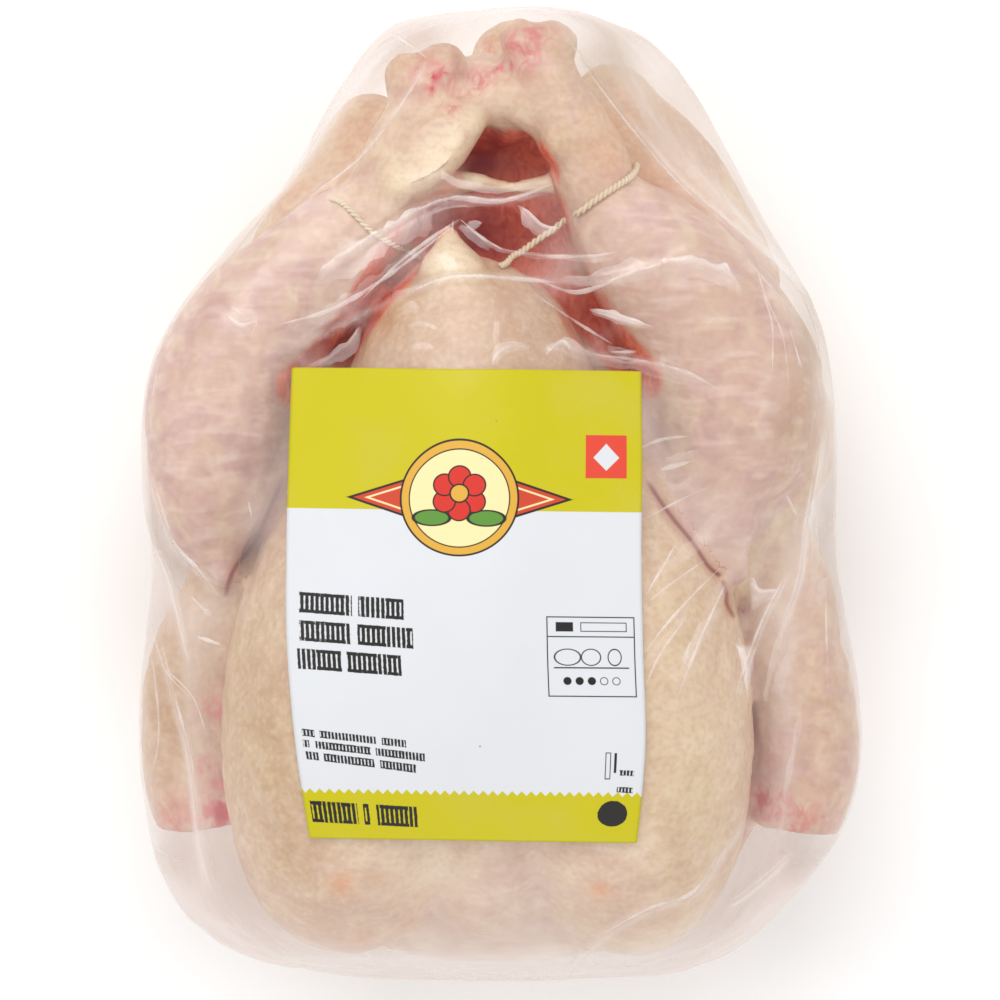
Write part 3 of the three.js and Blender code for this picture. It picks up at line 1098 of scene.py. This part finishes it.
# Colour zones on the flesh, each a pixel where the camera sees it, a reach in millimetres, and how strong
ZONES = {
    "bloody": [
        ((434, 76), 2.2, 1.0),
        ((446, 71), 1.8, 1.0),
        ((428, 74), 5.0, 0.5),
        ((432, 89), 1.5, 0.95),
        ((452, 82), 5, 0.4),
        ((450, 108), 2.6, 0.6),
        ((478, 82), 4.5, 0.7),
        ((522, 50), 5.5, 0.75),
        ((516, 64), 3.0, 0.8),
        ((498, 70), 1.9, 1.0),
        ((536, 34), 4.5, 0.6),
        ((488, 50), 4.0, 0.35),
        ((222, 812), 6.5, 1.0),
        ((205, 820), 5, 0.7),
        ((175, 820), 6, 0.45),
        ((206, 766), 2.4, 0.85),
        ((222, 768), 2.2, 0.7),
        ((222, 788), 4, 0.6),
        ((216, 706), 4.5, 0.7),
        ((210, 700), 2.5, 0.4),
        ((762, 800), 4.5, 1.0),
        ((775, 808), 6.5, 0.75),
        ((795, 826), 8, 0.5),
        ((755, 730), 3.5, 0.7),
        ((770, 750), 6, 0.35),
        ((785, 742), 2.5, 0.5),
        ((560, 300), 4, 0.35),
        ((410, 922), 2.2, 0.35),
    ],
    "fatty": [
        ((472, 124), 5, 0.9),
        ((455, 140), 6, 0.95),
        ((438, 160), 7, 0.95),
        ((410, 180), 7, 0.8),
        ((390, 190), 5, 0.5),
        ((475, 181), 3.0, 0.8),
        ((510, 187), 2.0, 0.7),
        ((450, 258), 8, 0.9),
        ((500, 106), 6, 0.4),
        ((456, 92), 3.5, 0.6),
        ((436, 866), 9, 0.7),
        ((396, 862), 6, 0.5),
        ((560, 870), 7, 0.4),
        ((700, 740), 24, 0.35),
        ((446, 100), 5, 0.6),
        ((475, 92), 4, 0.5),
    ],
    "golden": [
        ((325, 150), 12, 0.35),
        ((295, 190), 10, 0.3),
        ((622, 140), 10, 0.9),
        ((640, 100), 9, 0.5),
        ((380, 330), 5, 0.4),
        ((480, 300), 9, 0.35),
        ((342, 884), 3.4, 1.0),
        ((376, 876), 2.6, 0.8),
        ((410, 922), 4.2, 1.0),
        ((428, 902), 7, 0.6),
        ((600, 890), 2.8, 1.0),
        ((360, 940), 3.0, 0.6),
        ((808, 395), 5, 0.8),
        ((195, 660), 12, 0.2),
        ((650, 165), 9, 0.8),
        ((640, 130), 9, 0.8),
        ((700, 200), 10, 0.4),
    ],
    "wine": [
        ((482, 160), 5.5, 1.0),
        ((474, 166), 4.5, 0.9),
        ((496, 148), 4, 0.8),
        ((478, 236), 7, 0.9),
        ((440, 214), 5, 0.4),
        ((500, 240), 6, 0.6),
        ((330, 350), 10, 0.3),
        ((360, 318), 10, 0.25),
        ((400, 280), 9, 0.25),
        ((590, 310), 9, 0.25),
        ((625, 352), 8, 0.3),
    ],
    "rosy": [
        ((440, 80), 9, 0.8),
        ((480, 78), 8, 0.8),
        ((520, 50), 10, 0.8),
        ((400, 110), 8, 0.4),
        ((500, 895), 14, 0.6),
        ((480, 950), 30, 0.5),
    ],
    # painted shade: darker patches where the flesh lies in shade
    "dusky": [
        ((480, 300), 24, 0.6),
        ((400, 330), 12, 0.4),
        ((260, 690), 20, 0.65),
        ((264, 770), 18, 0.4),
        ((180, 680), 20, 0.9),
        ((376, 874), 4, 0.6),
        ((640, 130), 14, 0.7),
        ((812, 400), 16, 0.9),
        ((806, 330), 14, 0.9),
        ((700, 300), 20, 0.25),
        ((520, 80), 16, 0.3),
    ],
    "yellow": [
        ((250, 640), 16, 0.8),
        ((255, 740), 18, 1.0),
        ((290, 850), 12, 0.5),
        ((690, 700), 20, 0.3),
        ((700, 800), 18, 0.5),
        ((690, 620), 14, 0.4),
        ((800, 440), 9, 0.9),
        ((770, 540), 10, 0.8),
        ((830, 720), 9, 0.7),
        ((182, 690), 16, 0.9),
    ],
}

# How rosy each stretch of wing is at its top end
WING_BLUSH = {"left wing": 0.1, "right wing": 0.35, "left wing fold": 0.1, "right wing fold": 0.35}

# Painted shadows along folds where the legs lie over the breast and at the belly's rim: dark lines as pixels,
# with how wide they are in pixels and how strong
PAINTED_FOLD_SHADOWS = [
    ([(286, 470), (270, 508), (256, 540), (236, 566), (229, 582), (225, 598)], 3.4, 1.0),
    ([(645, 478), (668, 512), (693, 543), (709, 567), (724, 578)], 3.0, 1.0),
    ([(722, 578), (726, 592), (727, 605), (735, 618)], 3.0, 0.9),
    ([(490, 126), (518, 142), (542, 160), (554, 184), (561, 218)], 2.0, 0.55),
]
FOLD_SHADOW_REACH = 12
OFF_LINE_STEPS = 20


def paint_fold_shadows(bird):
    """Keeps each point's distance from the nearest fold, signed for the side, and how strong the fold's
    painted shadow is.
    """
    points = points_of(bird)
    spots, facing = pixels_of(points), smoothstep(0, 0.3, normals_of(bird)[:, 2])
    nearest = np.full(len(points), float(FOLD_SHADOW_REACH))
    beside, strong = np.full(len(points), float(FOLD_SHADOW_REACH)), np.zeros(len(points))
    for path, width, most in PAINTED_FOLD_SHADOWS:
        away, share, side = away_from([Vector(pixel) for pixel in path], spots)
        ends = smoothstep(0, 0.12, share) * smoothstep(1, 0.88, share)
        near = away < nearest
        nearest[near] = away[near]
        beside[near] = (away * side / width)[near]
        strong[near] = (most * ends * smoothstep(FOLD_SHADOW_REACH, FOLD_SHADOW_REACH * 0.6, away) * facing)[near]
    store(bird, "beside", beside)
    store(bird, "folded", strong)


def hollows(bird, passes):
    """How deep each point lies below a smoothed copy of the flesh, in millimetres."""
    activate(bird)
    bpy.ops.object.duplicate()
    soft = bpy.context.object
    modify(soft, "SMOOTH", factor=0.9, iterations=passes)
    depth = np.sum((points_of(soft) - points_of(bird)) * normals_of(soft), axis=1) / MM
    bpy.data.objects.remove(soft)
    return depth


def limb_share(points, name):
    """Each point's distance from a limb's line, as a share of its radius there, and how far along it is."""
    line = next(line for line in LIMBS if line["name"] == name)
    stations = [np.array(place(*point)) for point in line["through"]]
    best = np.full(len(points), 1e9)
    share = np.zeros(len(points))
    for i, (start, end) in enumerate(zip(stations, stations[1:])):
        step = end - start
        t = np.clip((points - start) @ step / (step @ step), 0, 1)
        radius = (line["radii"][i] * (1 - t) + line["radii"][i + 1] * t) * MM
        ratio = np.linalg.norm(points - start - t[:, None] * step, axis=1) / radius
        nearer = ratio < best
        best[nearer] = ratio[nearer]
        share[nearer] = (i + t[nearer]) / (len(stations) - 1)
    return best, share


def off_line(points, through):
    """Each point's distance from a smooth line through points given in millimetres."""
    line = [place(*point) for point in through]
    stations = [np.array(along(line, i / OFF_LINE_STEPS)) for i in range(OFF_LINE_STEPS + 1)]
    return np.min([np.linalg.norm(points - station, axis=1) for station in stations], axis=0)


def paint_zones(bird):
    """Keeps on the flesh how strong each colour zone, the belly's hollow, the painted fold shadows and the
    painted shade in creases and hollows are at each point.
    """
    points = points_of(bird)
    flesh = tree_of(bird)
    strengths = {}
    for name, zones in ZONES.items():
        strengths[name] = np.zeros(len(points))
        for spot, reach, most in zones:
            away = np.linalg.norm(points - np.array(seen(flesh, *spot)[0]), axis=1) / (reach * MM)
            strengths[name] = np.maximum(strengths[name], most * np.exp(-away * away))
    rosy = strengths["rosy"]
    for name in ("left drumstick", "right drumstick"):
        ratio, share = limb_share(points, name)
        rosy = np.maximum(rosy, smoothstep(1.2, 1.02, ratio) * (1 - 0.6 * smoothstep(0.6, 0.85, share)))
    for name, most in WING_BLUSH.items():
        ratio, share = limb_share(points, name)
        rosy = np.maximum(rosy, smoothstep(1.3, 1.1, ratio) * (most + 0.4 * share))
    strengths["rosy"] = rosy
    hollow = np.zeros(len(points))
    for piece in CAVITY:
        away = (points - np.array(place(*piece["centre"]))) / (np.array(piece["half"]) * MM)
        hollow = np.maximum(hollow, smoothstep(1.28, 1.06, np.linalg.norm(away, axis=1)))
    spots, heights = pixels_of(points), points[:, 2] / MM
    inside = smoothstep(36, 44, heights)  # none of the belly's red on the bird's back
    for (px, py), (wide, tall), rim in OPENINGS:
        away = np.hypot((spots[:, 0] - px) / wide, (spots[:, 1] - py) / tall)
        hollow = np.maximum(hollow, inside * smoothstep(1.15, 0.95, away) * smoothstep(rim, rim - 6, heights))
    for path in OPEN_GAPS:
        away = away_from([Vector(pixel) for pixel in path], spots)[0]
        hollow = np.maximum(hollow, inside * smoothstep(24, 14, away) * smoothstep(72, 65, heights))
    for gap in GAPS:
        hollow = np.maximum(hollow, 0.95 * smoothstep(7 * MM, 4.5 * MM, off_line(points, gap["through"])))
    for flap in FLAPS:
        wide = max(flap["radii"][1:3]) * MM
        hollow *= smoothstep(wide * 0.95, wide * 1.35 + 0.6 * MM, off_line(points, flap["through"]))
    strengths["deep"] = hollow
    for name, strength in strengths.items():
        store(bird, name, strength)
    paint_fold_shadows(bird)
    # Painted shade: how deep each point lies in a narrow crease and in a broad hollow
    store(bird, "crease", smoothstep(0.25, 0.9, hollows(bird, 8)))
    store(bird, "shade", smoothstep(0.8, 3.4, hollows(bird, 70)))


# The label

LABEL_LEFT = [(291, 367), (288, 461), (286, 555), (287, 650), (295, 744), (309, 838)]
LABEL_RIGHT = [(642, 371), (643, 465), (642, 560), (644, 654), (646, 748), (638, 843)]
LABEL_SIZE = (82, 111)
LABEL_LIFT = 0.5 * MM
LABEL_BUCKLE = 0.4 * MM
LABEL_THICKNESS = 0.14 * MM


def make_label(skin):
    bpy.ops.mesh.primitive_grid_add(x_subdivisions=70, y_subdivisions=96, size=1, calc_uvs=True)
    label = bpy.context.object
    label.name = "label_sheet"
    label.data.name = "label_sheet"
    for vertex in label.data.vertices:
        u, v = vertex.co.x + 0.5, 0.5 - vertex.co.y
        left = along(LABEL_LEFT, v)
        right = along(LABEL_RIGHT, v)
        spot = left.lerp(right, u)
        hit, normal = seen(skin, spot.x, spot.y)
        buckle = noise.fractal(Vector((spot.x / 70, spot.y / 110, 5)), 1.0, 2.0, 2)
        vertex.co = hit + normal * (LABEL_LIFT + LABEL_BUCKLE * max(buckle, 0))
    modify(label, "SMOOTH", factor=0.5, iterations=4)
    modify(label, "SOLIDIFY", thickness=LABEL_THICKNESS, offset=0)
    return label


# The label's print, in millimetres from its top left corner: fields of colour, strokes for words, and plain
# shapes

BAND_FOOT = 33.4
ZIGZAG_TOP = 98.4
BIG_WORDS = [
    (55.2, 4.8, [(3.4, 15.4), (16.8, 27.2)]),
    (61.8, 4.8, [(3.3, 15.0), (16.5, 29.2)]),
    (68.4, 4.8, [(2.6, 12.6), (13.8, 26.2)]),
]
SMALL_WORDS = [
    (85.7, 1.7, [(2.2, 5.0), (6.2, 19.0), (20.4, 26.0)]),
    (88.3, 1.7, [(2.2, 3.6), (5.0, 17.6), (18.8, 30.2)]),
    (90.9, 1.7, [(2.4, 5.4), (6.6, 18.2), (19.6, 28.0)]),
]
FOOT_WORDS = [(102.9, 4.9, [(1.8, 13.0), (14.4, 15.8), (17.6, 27.4)])]
CORNER_WORDS = [(91.0, 1.1, [(76.0, 79.4)]), (94.4, 1.1, [(75.6, 79.4)])]
FIELD_SQUARE = {"middle": (73.3, 20.8), "half": 4.75}
BADGE = {"middle": (69.7, 67.4), "half": (10.0, 9.3)}
EGG = {"middle": (75.0, 102.6), "half": (3.6, 2.9)}
EMBLEM = {"middle": (39.8, 30.6), "disc": 13.6, "lozenge": (26.0, 8.6)}


RAGGED_SIZE = 900  # in thousandths, as the label's own coordinates are millimetres


class Print:
    """Flat shapes on the label, each a mask that is 1 inside, from the distances to its edges."""

    def __init__(self, finish):
        self.finish = finish
        uv = finish.add("ShaderNodeTexCoord").output("UV")
        parts = finish.add("ShaderNodeSeparateXYZ", {}, {"Vector": uv})
        self.x = parts.output("X") * LABEL_SIZE[0]
        self.y = (1 - parts.output("Y")) * LABEL_SIZE[1]
        at = finish.add("ShaderNodeCombineXYZ", {}, {"X": self.x, "Y": self.y})
        self.ragged = (finish.noise(at, RAGGED_SIZE, 2.0) - 0.5) * 0.3

    def inside(self, depth, soft=0.09):
        return depth.step(-soft, soft)

    def box(self, middle, half):
        across = half[0] - abs(self.x - middle[0])
        down = half[1] - abs(self.y - middle[1])
        return across.least(down)

    def oval(self, middle, half):
        dx = (self.x - middle[0]) / half[0]
        dy = (self.y - middle[1]) / half[1]
        return (1 - (dx * dx + dy * dy).math("SQRT")) * min(half)

    def lozenge(self, middle, half):
        share = abs(self.x - middle[0]) / half[0] + abs(self.y - middle[1]) / half[1]
        return (1 - share) * (min(half) * 0.8)

    def words(self, lines, slope=0.04, pitch=1.15):
        """Rows of upright strokes, some joined at head and foot, in the place of words."""
        level = self.y - self.x * slope
        share = self.x / pitch
        stroke = (0.34 - abs(share.math("FRACT") - 0.5)) * pitch
        every = None
        for y, height, words in lines:
            cell = (share / 2).math("FLOOR") + y
            lot = self.finish.add("ShaderNodeTexWhiteNoise", {"noise_dimensions": "1D"}, {"W": cell})
            tall = height / 2 - abs(level - y)
            letters = stroke.most((height * 0.17 - tall).least((lot - 0.35) * pitch))
            for start, end in words:
                wide = (end - start) / 2 - abs(self.x - (start + end) / 2)
                word = wide.least(tall).least(letters)
                every = word if every is None else every.most(word)
        return self.inside(every + self.ragged)

    def outline(self, depth, line):
        return self.inside(line / 2 - abs(depth))


def label_finish():
    paper = Finish("label_print")
    ink = Print(paper)
    at = paper.places()
    yellow, white, dark = tint(202, 191, 12), tint(222, 224, 228), (0.02, 0.018, 0.016, 1)
    teeth = abs((ink.x / 2.3).math("FRACT") - 0.5) * 1.9
    bands = ink.inside(BAND_FOOT - ink.y).most(ink.inside(ink.y - ZIGZAG_TOP + teeth - 0.5))
    colour = paper.blend(bands, white, yellow)
    patchy = paper.noise(at, 14, 3.0)
    colour = paper.blend(patchy.step(0.45, 0.75) * 0.05, colour, tint(206, 200, 190))

    middle = EMBLEM["middle"]
    red, gold, cream, green = tint(206, 72, 46), tint(224, 172, 66), tint(246, 230, 172), tint(96, 148, 60)
    banner = ink.lozenge(middle, EMBLEM["lozenge"])
    colour = paper.blend(ink.inside(banner), colour, dark)
    colour = paper.blend(ink.inside(banner - 0.45), colour, red)
    colour = paper.blend(ink.outline(banner - 1.3, 0.35), colour, cream)
    disc = ink.oval(middle, (EMBLEM["disc"], EMBLEM["disc"]))
    colour = paper.blend(ink.inside(disc), colour, dark)
    colour = paper.blend(ink.inside(disc - 0.45), colour, gold)
    colour = paper.blend(ink.inside(disc - 2.2), colour, cream)
    colour = paper.blend(ink.outline(disc - 2.2, 0.3), colour, dark)
    for side in (-1, 1):
        leaf = ink.oval((middle[0] + side * 6.2, middle[1] + 4.6), (4.6, 2.0))
        colour = paper.blend(ink.inside(leaf), colour, dark)
        colour = paper.blend(ink.inside(leaf - 0.35), colour, green)
    for turn in range(6):
        angle = math.radians(60 * turn + 30)
        tip = (middle[0] + 3.9 * math.cos(angle), middle[1] - 1.2 + 3.9 * math.sin(angle))
        petal = ink.oval(tip, (2.7, 2.7))
        colour = paper.blend(ink.inside(petal), colour, dark)
        colour = paper.blend(ink.inside(petal - 0.35), colour, tint(214, 52, 40))
    heart = ink.oval((middle[0], middle[1] - 1.2), (2.3, 2.3))
    colour = paper.blend(ink.inside(heart), colour, dark)
    colour = paper.blend(ink.inside(heart - 0.4), colour, gold)

    square = ink.box(FIELD_SQUARE["middle"], (FIELD_SQUARE["half"], FIELD_SQUARE["half"]))
    colour = paper.blend(ink.inside(square), colour, tint(226, 74, 54))
    colour = paper.blend(ink.inside(ink.lozenge(FIELD_SQUARE["middle"], (3.0, 3.0))), colour, white)

    badge = ink.box(BADGE["middle"], BADGE["half"])
    marks = ink.outline(badge, 0.28)
    left, top = BADGE["middle"][0] - BADGE["half"][0], BADGE["middle"][1] - BADGE["half"][1]
    marks = marks.most(ink.inside(ink.box((BADGE["middle"][0], top + 4.6), (10.0, 0.14))))
    marks = marks.most(ink.inside(ink.box((left + 4.0, top + 2.3), (2.0, 1.1))))
    marks = marks.most(ink.outline(ink.box((left + 13.0, top + 2.3), (5.2, 1.0)), 0.22))
    for i, wide in enumerate((3.0, 2.2, 1.5)):
        marks = marks.most(ink.outline(ink.oval((left + 4.6 + 5.4 * i, top + 9.4), (wide, 1.9)), 0.25))
    marks = marks.most(ink.inside(ink.box((BADGE["middle"][0], top + 11.9), (8.6, 0.16))))
    for i in range(5):
        dot = ink.oval((left + 4.4 + 2.8 * i, top + 15.0), (0.95, 0.95))
        marks = marks.most(ink.inside(dot) if i < 3 else ink.outline(dot - 0.1, 0.2))
    marks = marks.most(ink.outline(ink.box((73.2, 92.6), (0.55, 2.7)), 0.22))
    marks = marks.most(ink.inside(ink.box((74.9, 92.0), (0.3, 2.1))))
    marks = marks.most(ink.inside(ink.oval(EGG["middle"], EGG["half"]) + ink.ragged))
    marks = marks.most(ink.words(BIG_WORDS, 0.06)).most(ink.words(FOOT_WORDS))
    marks = marks.most(ink.words(SMALL_WORDS, 0.1, 0.8)).most(ink.words(CORNER_WORDS, 0.04, 0.8))
    colour = paper.blend(marks, colour, dark)

    specks = paper.add("ShaderNodeTexVoronoi", {"feature": "F1"}, {"Vector": at, "Scale": 1 / (7 * MM)})
    keep = paper.noise(at, 9, 1.0).step(0.5, 0.6)
    colour = paper.blend(specks.step(0.055, 0.03) * keep * 0.7, colour, tint(120, 104, 84))
    sheet = paper.add(
        "ShaderNodeBsdfPrincipled",
        {},
        {
            "Base Color": colour,
            "Roughness": 0.42,
            "Specular IOR Level": 0.3,
        },
    )
    return paper.finish(sheet)


# The string

# The two pieces that show, as pixels, and the radius of a ply
STRING = [
    ([(332, 200), (345, 206), (372, 232), (400, 248), (418, 258)], 0.38 * MM),
    ([(500, 268), (520, 258), (560, 228), (600, 198), (628, 178), (636, 166)], 0.47 * MM),
]
TURN_LENGTH = 3.2 * MM
KNOTS_A_TURN = 8
STRING_STEPS = 14
SAG = 1.5 * MM  # how far the string hangs below a straight line where it crosses a gap


def make_string(flesh):
    """Two plies twisted round each other, lying on the flesh."""
    plies = []
    for path, ply_radius in STRING:
        line = []
        for i in range(STRING_STEPS + 1):
            spot = along(path, i / STRING_STEPS)
            hit, normal = seen(flesh, spot.x, spot.y)
            line.append(hit + normal * 1.5 * ply_radius)
        fall = line[-1].z - line[0].z
        for i, point in enumerate(line):
            drop = SAG * math.sin(math.pi * i / STRING_STEPS)
            point.z = max(point.z, line[0].z + fall * i / STRING_STEPS - drop)
        length = sum((b - a).length for a, b in zip(line, line[1:]))
        knots = int(length / TURN_LENGTH * KNOTS_A_TURN)
        for start in (0, math.pi):
            turns = []
            for i in range(knots):
                t = i / (knots - 1)
                ahead = (along(line, min(t + 0.03, 1)) - along(line, max(t - 0.03, 0))).normalized()
                side = ahead.cross(Vector((0, 0, 1))).normalized()
                up = side.cross(ahead)
                angle = start + 2 * math.pi * t * length / TURN_LENGTH
                turned = side * math.cos(angle) + up * math.sin(angle)
                turns.append(along(line, t) + turned * ply_radius * 0.8)
            plies.append(tube(turns, [1] * knots, ply_radius, 3, 2))
    return join(plies, "string")


# The table, the lights and the camera


def make_table():
    bpy.ops.mesh.primitive_plane_add(size=6)
    table = bpy.context.object
    table.name = "table"
    table.data.materials.append(plain_finish("pale_table", (0.975, 0.975, 0.975, 1), 0.6, 0.0, 0.045))


def soft_light(name, spot, size, power):
    bpy.ops.object.light_add(type="AREA", location=spot)
    lamp = bpy.context.object
    lamp.name = name
    lamp.data.shape = "RECTANGLE"
    lamp.data.size, lamp.data.size_y = size
    lamp.data.energy = power
    lamp.rotation_euler = (Vector((0, 0, 0.05)) - Vector(spot)).to_track_quat("-Z", "Y").to_euler()


def light_up():
    world = bpy.data.worlds.new("studio")
    bpy.context.scene.world = world
    world.use_nodes = True
    world.node_tree.nodes["Background"].inputs["Color"].default_value = (1, 1, 1, 1)
    world.node_tree.nodes["Background"].inputs["Strength"].default_value = 0.7
    soft_light("overhead", (-0.15, 0.7, 0.95), (1.1, 0.4), 5.6)
    soft_light("low_fill", (0.1, -0.9, 0.6), (1.2, 0.5), 2.2)
    soft_light("left", (-0.9, 0.1, 0.6), (0.3, 0.8), 1.2)
    soft_light("right", (0.9, 0.2, 0.6), (0.3, 0.8), 1.0)


def place_camera():
    bpy.ops.object.camera_add(location=EYE, rotation=(0, 0, 0))
    camera = bpy.context.object
    camera.data.sensor_width = SENSOR
    camera.data.lens = SENSOR * (EYE_HEIGHT - FIELD_HEIGHT) / FIELD
    camera.data.clip_start = 0.01
    bpy.context.scene.camera = camera


film = make_film()
chicken = make_bird()
hug(chicken, film, FLESH_GAP)
loose = smoothstep(LOOSE_LOW, LOOSE_HIGH, stand_off(film, chicken))
store(film, "loose", crease(film, loose))
tuck(chicken, film, FLESH_GAP)
modify(chicken, "SMOOTH", factor=0.5, iterations=2)
paint_zones(chicken)
chicken.data.materials.append(skin_finish())
store(film, "drawn", np.zeros(len(film.data.vertices)))
store(film, "sheer", zone_strength(pixels_of(points_of(film)), CLEAR, 4))
clear_film = film_finish()
film.data.materials.append(clear_film)
film_pleats_and_painted_highlights = make_pleats(tree_of(film))
film_pleats_and_painted_highlights.data.materials.append(clear_film)
label_sheet = make_label(tree_of(film))
label_sheet.data.materials.append(label_finish())
string = make_string(tree_of(chicken))
string.data.materials.append(plain_finish("elastic_string", tint(222, 202, 172), 0.6))

FINISHED = (
    (film, "film"),
    (film_pleats_and_painted_highlights, "film"),
    (chicken, "skin"),
    (label_sheet, "label_paper"),
    (string, "string"),
)
for piece, slot in FINISHED:
    activate(piece)
    bpy.ops.object.shade_smooth()
    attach(piece, "root")
for piece in (film, film_pleats_and_painted_highlights):
    piece.visible_shadow = False
    piece.visible_diffuse = False
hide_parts("sealed_bag")
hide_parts("label")

make_table()
light_up()
place_camera()
bpy.context.scene.view_settings.view_transform = "Standard"
